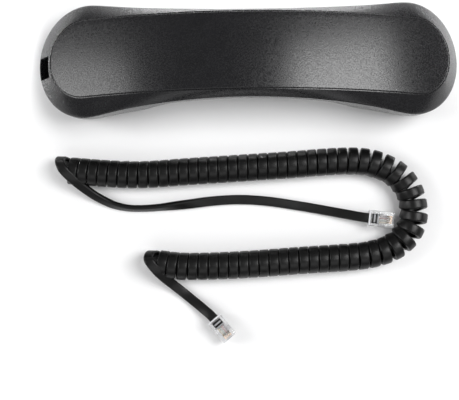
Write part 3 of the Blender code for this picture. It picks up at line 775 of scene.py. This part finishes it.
def dish_profile():
    """The profile of a cup's dish: rounded rim, filleted wall, deepest in its middle."""
    profile = [(0, -0.002), (DISH_RADIUS + DISH_RIM, -0.002)]
    for angle in quarter_turn(ROUND_STEPS):
        profile.append((DISH_RADIUS + DISH_RIM * (1 - math.sin(angle)), DISH_RIM * (1 - math.cos(angle))))
    wall_top = DISH_DEPTH - DISH_SLOPE - DISH_FILLET
    for angle in quarter_turn(ROUND_STEPS):
        radius = DISH_RADIUS - DISH_FILLET * (1 - math.cos(angle))
        profile.append((radius, wall_top + DISH_FILLET * math.sin(angle)))
    profile.append((0.45 * DISH_RADIUS, DISH_DEPTH))
    profile.append((0, DISH_DEPTH))
    return profile


def make_front_shell(finish):
    """The lower moulding: rounded grip and cups, ear dish with its holes, mouth dish with its slot."""
    shell = loft("front_shell_surface", front_shell_loops(), smooth_angle=FRONT_CREASE_ANGLE)
    dishes = []
    for side in (-1, 1):
        dishes.append(shifted(turned(f"dish_{side}", dish_profile(), 96), side * DISH_X))
        pocket = turned("pocket", rod(SCREW_POCKET_RADIUS, -CUT_MARGIN, SCREW_POCKET_DEPTH), 40)
        pocket.location = (side * SCREW_X, 0, under_height(SCREW_X))
        dishes.append(pocket)
    cut(shell, merged("front_pockets", dishes), smooth_angle=FRONT_CREASE_ANGLE)

    holes = []
    flare = EAR_HOLE_RADIUS + EAR_HOLE_FLARE
    profile = [
        (0, HOLE_LOW), (flare, HOLE_LOW), (flare, DISH_DEPTH - 0.0001),
        (EAR_HOLE_RADIUS, DISH_DEPTH + 0.0003), (EAR_HOLE_RADIUS, HOLE_HIGH), (0, HOLE_HIGH)]
    for ring_number, (radius, count) in enumerate(EAR_HOLE_RINGS):
        for i in range(count):
            angle = 2 * math.pi * (i + 0.5 * (ring_number == 2)) / count
            hole = turned("ear_hole", profile, 20)
            hole.location = (DISH_X + radius * math.cos(angle), radius * math.sin(angle), 0)
            holes.append(hole)
    holes.append(box(
        "mic_slot", (MIC_X - 0.5 * MIC_SLOT[0], -0.5 * MIC_SLOT[1], HOLE_LOW),
        (MIC_X + 0.5 * MIC_SLOT[0], 0.5 * MIC_SLOT[1], HOLE_HIGH), 0.0006, 3))
    for x in (-SCREW_X, SCREW_X):
        holes.append(shifted(turned("shank", rod(SCREW_BORE_RADIUS, 0.012, 0.023), 20), x))
    holes.append(socket_lip_relief())
    cut(shell, merged("front_holes", holes), smooth_angle=FRONT_CREASE_ANGLE)
    dress(shell, finish, "shell", "handset", "front_shell")


def make_screws(finish):
    """Shell screws: a domed pan head with a cross recess, facing down out of its pocket."""
    for side, x in (("mouth_side", -SCREW_X), ("ear_side", SCREW_X)):
        low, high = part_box("shell_screw_" + side)
        face = low.z
        profile = [(0, face)]
        for angle in quarter_turn(8):
            radius = HEAD_RADIUS - HEAD_EDGE_RADIUS + HEAD_EDGE_RADIUS * math.sin(angle)
            profile.append((radius, face + HEAD_EDGE_HEIGHT * (1 - math.cos(angle))))
        profile += [(HEAD_RADIUS, face + HEAD_THICKNESS), (SHANK_RADIUS, face + HEAD_THICKNESS)]
        for i in range(THREAD_TURNS):
            z = face + THREAD_START + THREAD_PITCH * i
            profile += [(THREAD_ROOT_RADIUS, z), (SHANK_RADIUS, z + 0.5 * THREAD_PITCH)]
        profile += [(0.0004, high.z - 0.0003), (0, high.z)]
        screw = shifted(turned("screw_" + side, profile, 32), x)
        slots = []
        long, short = RECESS_HALF_LENGTH, RECESS_HALF_WIDTH
        for along, across in ((long, short), (short, long)):
            slots.append(box(
                "slot", (x - along, -across, face - 0.001), (x + along, across, face + RECESS_DEPTH)))
        placed = merged("screw_placed_" + side, [screw])
        for slot_box in slots:
            cut(placed, slot_box, smooth_angle=30)
        placed.name = "shell_screw_detail_" + side
        dress(placed, finish, "steel", "handset", "shell_screw_" + side)


# ================================================================ cord

def smooth_line(knots, per_span=16):
    """A dense smooth curve through the given points."""
    line = []
    for i in range(len(knots) - 1):
        before = knots[max(i - 1, 0)]
        after = knots[min(i + 2, len(knots) - 1)]
        handle_a = knots[i] + (knots[i + 1] - before) / 6
        handle_b = knots[i + 1] - (after - knots[i]) / 6
        line += interpolate_bezier(knots[i], handle_a, handle_b, knots[i + 1], per_span + 1)[:-1]
    line.append(knots[-1])
    return line


def lengths_along(line):
    """Distance from the start to each point of a line."""
    steps = np.linalg.norm(np.diff(np.array(line), axis=0), axis=1)
    return np.concatenate([[0.0], np.cumsum(steps)])


def coil_centreline():
    """The coil's axis as arrays: distance, place, heading and curvature, evenly spaced."""
    line = smooth_line([Vector((x, y, COIL_RADIUS)) for x, y in COIL_ROUTE])
    distance = lengths_along([tuple(p) for p in line])
    even = np.linspace(0.0, distance[-1], COIL_SAMPLES)
    places = np.stack([np.interp(even, distance, [p[k] for p in line]) for k in range(3)], axis=1)
    heading = np.gradient(places, even, axis=0)
    heading /= np.linalg.norm(heading, axis=1)[:, None]
    angle = np.unwrap(np.arctan2(heading[:, 1], heading[:, 0]))
    bend = np.gradient(angle, even)
    window = np.hanning(BEND_WINDOW)
    bend = np.convolve(np.pad(bend, BEND_WINDOW // 2, mode="edge"), window / window.sum(), mode="valid")
    return even, places, heading, bend


def turn_phase(distance, bend):
    """Turns wound by each distance: wider apart in the bend, and slightly uneven, as a used cord's are."""
    share = np.clip(np.abs(bend) / BEND_CURVATURE, 0.0, 1.0)
    pitch = COIL_PITCH + (BEND_PITCH - COIL_PITCH) * share
    wound = np.concatenate([[0.0], np.cumsum(np.diff(distance) / (0.5 * (pitch[1:] + pitch[:-1])))])
    whole = (COIL_START_ANGLE - COIL_END_ANGLE) / (2 * math.pi)
    wound *= (round(wound[-1] - whole) + whole) / wound[-1]
    uneven = sum(size * np.sin(wound * waves + start) for size, waves, start in UNEVENNESS)
    return wound + uneven * np.minimum(1.0, np.minimum(wound, wound[-1] - wound))


def coil_points():
    """The curly stretch: places, which way the flat side faces, and how far the section leans."""
    distance, places, heading, bend = coil_centreline()
    wound = turn_phase(distance, bend)
    phase = np.linspace(0.0, wound[-1], int(wound[-1] * POINTS_PER_TURN) + 1)
    at = np.interp(phase, wound, distance)
    centre = np.stack([np.interp(at, distance, places[:, k]) for k in range(3)], axis=1)
    ahead = np.stack([np.interp(at, distance, heading[:, k]) for k in range(3)], axis=1)
    ahead /= np.linalg.norm(ahead, axis=1)[:, None]
    left = np.stack([-ahead[:, 1], ahead[:, 0], np.zeros(len(at))], axis=1)
    curve = np.interp(at, distance, bend)
    pitch = np.gradient(at, phase)
    angle = COIL_START_ANGLE - 2 * math.pi * phase
    radial = np.cos(angle)[:, None] * left + np.sin(angle)[:, None] * np.array([0.0, 0.0, 1.0])
    tip = BEND_TILT * np.clip(-curve / BEND_CURVATURE, 0.0, 1.0) * np.sin(angle) / (2 * math.pi)
    quarter = 0.25                        # a plain helix runs this share of its pitch from top to side
    square = TURN_TILT * quarter * np.cos(angle)
    spot = centre + COIL_MEAN_RADIUS * radial + (pitch * (tip - square))[:, None] * ahead
    local_pitch = pitch * (1 - curve * COIL_MEAN_RADIUS * np.cos(angle))
    lean = np.radians(np.interp(local_pitch, CROWDED_PITCH, CROWDED_LEAN))
    return spot, radial, lean


def plug_point(letter, along):
    """A point on a plug's axis, measured from its rear face towards its nose."""
    (x, y), turn = PLUGS[letter]
    return Vector((x + along * math.cos(turn), y + along * math.sin(turn), PLUG_AXIS))


def lead_points(route, letter, meeting, meeting_facing, next_place):
    """A lead from inside its plug to the coil, ending just before the coil's own point."""
    knots = [plug_point(letter, JACKET_IN_PLUG), plug_point(letter, -LEAD_BEHIND_PLUG)]
    knots += [Vector(p) for p, _ in reversed(route)]
    knots.append(Vector(meeting))
    facing = [Vector((0, 0, 1))] * 2 + [Vector(f).normalized() for _, f in reversed(route)]
    facing.append(Vector(meeting_facing))
    guided = knots + [Vector(next_place)]
    line = smooth_line(guided, LEAD_STEPS)[:(len(knots) - 1) * LEAD_STEPS]
    ways = []
    for i in range(len(knots) - 1):
        for step in range(LEAD_STEPS):
            ways.append(facing[i].lerp(facing[i + 1], step / LEAD_STEPS).normalized())
    for point in line:
        point.z = max(point.z, LOW)
    return [tuple(p) for p in line], [tuple(w) for w in ways]


def cord_section():
    """The flat cord's cross-section: flat faces, a faint crown and rounded corners."""
    points = []
    half_core = 0.5 * CORD_WIDTH - CORD_CORNER
    flat = 0.5 * CORD_THICKNESS - CORD_CORNER
    for corner, (side, face) in enumerate(((1, 1), (-1, 1), (-1, -1), (1, -1))):
        for step in range(CORD_CORNER_STEPS + 1):
            angle = 0.5 * math.pi * (corner + step / CORD_CORNER_STEPS)
            points.append((side * half_core + CORD_CORNER * math.cos(angle),
                           face * flat + CORD_CORNER * math.sin(angle)))
        if side == face:
            points.append((0.0, face * (0.5 * CORD_THICKNESS + CORD_CROWN)))
    return points


def sweep(name, path, facing, lean, section):
    """A closed mesh that carries a section along a path; its UVs are metres along and share round."""
    path = np.array(path)
    along = np.gradient(path, axis=0)
    along /= np.linalg.norm(along, axis=1)[:, None]
    facing = np.array(facing)
    facing = facing - (facing * along).sum(1)[:, None] * along
    facing /= np.linalg.norm(facing, axis=1)[:, None]
    side = np.cross(along, facing)
    cos = np.cos(lean)[:, None]
    sin = np.sin(lean)[:, None]
    across = cos * side + sin * facing
    up = cos * facing - sin * side
    rings = [path + u * across + v * up for u, v in section]
    grid = np.stack(rings, axis=1)
    sunk = np.minimum(grid[:, :, 2].min(axis=1), 0.0)
    grid[:, :, 2] -= sunk[:, None]
    path[:, 2] -= sunk
    rows, sides = grid.shape[:2]
    vertices = grid.reshape(-1, 3)
    faces = []
    for i in range(rows - 1):
        for k in range(sides):
            j = (k + 1) % sides
            faces.append((i * sides + k, i * sides + j, (i + 1) * sides + j, (i + 1) * sides + k))
    faces.append(tuple(range(sides - 1, -1, -1)))
    faces.append(tuple((rows - 1) * sides + k for k in range(sides)))
    mesh = bpy.data.meshes.new(name)
    mesh.from_pydata(vertices.tolist(), [], faces)
    distance = lengths_along(path)
    uv = mesh.uv_layers.new(name="along")
    coordinates = []
    for i in range(rows - 1):
        for k in range(sides):
            low, high = k / sides, (k + 1) / sides
            coordinates += [distance[i], low, distance[i], high, distance[i + 1], high, distance[i + 1], low]
    coordinates += [0.0] * (4 * sides)
    uv.data.foreach_set("uv", coordinates)
    work = bmesh.new()
    work.from_mesh(mesh)
    bmesh.ops.recalc_face_normals(work, faces=work.faces)
    work.to_mesh(mesh)
    work.free()
    mesh.shade_smooth()
    mesh.set_sharp_from_angle(angle=math.radians(50))
    made = bpy.data.objects.new(name, mesh)
    bpy.context.scene.collection.objects.link(made)
    return made, path.tolist()


def make_cord(finish):
    """One flat cord from plug to plug: lead a, the curly stretch, lead b."""
    spot, radial, lean = coil_points()
    line_a, facing_a = lead_points(LEAD_A_ROUTE, "a", spot[0], radial[0], spot[3])
    line_b, facing_b = lead_points(LEAD_B_ROUTE, "b", spot[-1], radial[-1], spot[-4])
    path = line_a + [tuple(p) for p in spot] + line_b[::-1]
    facing = facing_a + [tuple(r) for r in radial] + facing_b[::-1]
    lean = np.concatenate([np.zeros(len(line_a)), lean, np.zeros(len(line_b))])
    cord, path = sweep("curly_cord", path, facing, lean, cord_section())
    dress(cord, finish, "cord", "handset", "lead_a", "curly_coil", "lead_b")


# ================================================================ plugs

def place_on_plug(piece, letter):
    """Move a piece made in a plug's own coordinates to where the plug lies."""
    (x, y), turn = PLUGS[letter]
    piece.data.transform(Matrix.Translation((x, y, PLUG_BASE)) @ Matrix.Rotation(turn, 4, "Z"))


def make_plug_body(letter, finish):
    """Clear body with a cable mouth, conductor channel, four contact slots and a crimp window."""
    body = box(
        f"plug_{letter}_shell", (PLUG_RIM, -PLUG_HALF_WIDTH, 0),
        (PLUG_LENGTH, PLUG_HALF_WIDTH, PLUG_HEIGHT), 0.00025, 3)
    above = PLUG_HEIGHT + 0.001
    cuts = [
        box("mouth", (-0.001, -MOUTH_HALF_WIDTH, PLUG_MIDDLE - MOUTH_HALF_HEIGHT),
            (0.0053, MOUTH_HALF_WIDTH, PLUG_MIDDLE + MOUTH_HALF_HEIGHT), 0.0003, 2),
        box("channel", (0.0048, -CHANNEL_HALF_WIDTH, PLUG_MIDDLE - CHANNEL_HALF_HEIGHT),
            (0.0097, CHANNEL_HALF_WIDTH, PLUG_MIDDLE + CHANNEL_HALF_HEIGHT)),
        box("crimp_window", (0.0014, -0.0025, PLUG_MIDDLE + 0.0010), (0.0053, 0.0025, above), 0.0001, 1)]
    for y in CONTACT_OFFSETS:
        cuts.append(box(
            "slot", (0.0085, y - SLOT_HALF_WIDTH, PLUG_MIDDLE + 0.0002),
            (PLUG_LENGTH + 0.001, y + SLOT_HALF_WIDTH, above)))
    for tool in cuts:
        cut(body, tool, smooth_angle=30)
    place_on_plug(body, letter)
    dress(body, finish, "clear", "handset", f"plug_{letter}_body")
    return body


def make_plug_rim(letter, finish):
    """The frosted rear edge round the cable mouth."""
    rim = box(
        f"plug_{letter}_rim", (0, -PLUG_HALF_WIDTH, 0), (PLUG_RIM, PLUG_HALF_WIDTH, PLUG_HEIGHT),
        0.00015, 2)
    mouth = box(
        "mouth", (-0.001, -MOUTH_HALF_WIDTH, PLUG_MIDDLE - MOUTH_HALF_HEIGHT),
        (0.002, MOUTH_HALF_WIDTH, PLUG_MIDDLE + 0.0013))
    cut(rim, mouth, smooth_angle=30)
    place_on_plug(rim, letter)
    dress(rim, finish, "clear", "handset")
    return rim


def make_plug_crimp(letter, finish):
    """The frosted bars pressed down on the jacket and on its end."""
    crimp = box("crimp", (0.0024, -0.0020, CRIMP_LOW), (0.0032, 0.0020, CRIMP_HIGH), 0.0002, 3)
    strain = box("strain", (0.0042, -0.0023, CRIMP_LOW), (0.0050, 0.0023, CRIMP_HIGH), 0.0002, 3)
    bars = merged(f"plug_{letter}_crimp_bars", [crimp, strain])
    place_on_plug(bars, letter)
    dress(bars, finish, "clear", "handset")
    return bars


def make_plug_latch(letter, finish):
    """The springy tongue under the body: a flat bar with a catch on each side and a finger end."""
    outline = [
        (0.0, LATCH_HALF_WIDTH), (-0.0030, LATCH_HALF_WIDTH), (-0.0034, CATCH_HALF_WIDTH),
        (-0.0052, CATCH_HALF_WIDTH), (-0.0056, LATCH_HALF_WIDTH),
        (-LATCH_LENGTH + 0.0004, LATCH_HALF_WIDTH), (-LATCH_LENGTH, 0.0013)]
    ring = [(x, -y) for x, y in outline] + [(x, y) for x, y in reversed(outline)]
    count = len(ring)
    vertices = [(x, y, 0.0) for x, y in ring] + [(x, y, -LATCH_THICKNESS) for x, y in ring]
    faces = [tuple(range(count)), tuple(range(2 * count - 1, count - 1, -1))]
    for i in range(count):
        j = (i + 1) % count
        faces.append((i, j, count + j, count + i))
    latch = add_mesh(f"plug_{letter}_tongue", vertices, faces, 30)
    work = bmesh.new()
    work.from_mesh(latch.data)
    bmesh.ops.bevel(work, geom=work.edges[:], offset=0.00015, segments=2, affect="EDGES", profile=0.5)
    work.to_mesh(latch.data)
    work.free()
    latch.data.shade_smooth()
    latch.data.set_sharp_from_angle(angle=math.radians(30))
    latch.data.transform(
        Matrix.Translation((PLUG_LENGTH - LATCH_SETBACK, 0, -GAP)) @ Matrix.Rotation(-LATCH_ANGLE, 4, "Y"))
    place_on_plug(latch, letter)
    dress(latch, finish, "clear", f"plug_{letter}_latch", f"plug_{letter}_latch")


def make_plug_metal(letter, finishes):
    """Four gold blades over four coloured conductors."""
    made = []
    start, end = WIRE_ENDS
    profile = [
        (0, start), (WIRE_RADIUS - WIRE_BEVEL, start), (WIRE_RADIUS, start + WIRE_BEVEL),
        (WIRE_RADIUS, end - WIRE_BEVEL), (WIRE_RADIUS - WIRE_BEVEL, end), (0, end)]
    for number, (y, colour) in enumerate(zip(CONTACT_OFFSETS, WIRE_COLOURS), 1):
        blade = box(
            f"plug_{letter}_blade_{number}", (0.0088, y - BLADE_HALF_WIDTH, PLUG_MIDDLE + 0.00045),
            (0.0114, y + BLADE_HALF_WIDTH, PLUG_HEIGHT - 0.00025), 0.00012, 2)
        place_on_plug(blade, letter)
        dress(blade, finishes["gold"], "gold", "handset", f"plug_{letter}_contact_{number}")
        wire = turned(f"plug_{letter}_wire_{number}", profile, 16)
        wire.data.transform(
            Matrix.Translation((0, y, PLUG_MIDDLE)) @ Matrix.Rotation(math.radians(90), 4, "Y"))
        place_on_plug(wire, letter)
        dress(wire, finishes[colour], colour, "handset", f"plug_{letter}_conductor_{number}")
        made += [blade, wire]
    return made


def make_plugs(finishes):
    """Both plugs; the pieces that stay with the cord are returned."""
    pieces = []
    for letter in PLUGS:
        pieces.append(make_plug_body(letter, finishes["clear"]))
        pieces.append(make_plug_rim(letter, finishes["frosted"]))
        pieces.append(make_plug_crimp(letter, finishes["pressed"]))
        pieces += make_plug_metal(letter, finishes)
        make_plug_latch(letter, finishes["clear"])
    return pieces


# ================================================================ CAD nodes that stay

def dress_cad_nodes(finishes):
    """The inner pieces keep their CAD shape and get finished materials."""
    for part in frame["record"]["subparts"]:
        node = frame["nodes"][part["node"]]
        node.data.materials.clear()
        node.data.materials.append(finishes[part["material_slot"]])


def main():
    """Everything that is seen."""
    finishes = make_materials()
    make_stage()
    make_camera()
    dress_cad_nodes(finishes)
    make_rear_shell(finishes["shell"])
    make_front_shell(finishes["shell"])
    make_screws(finishes["steel"])
    plug_pieces = make_plugs(finishes)
    make_cord(finishes["cord"])


main()
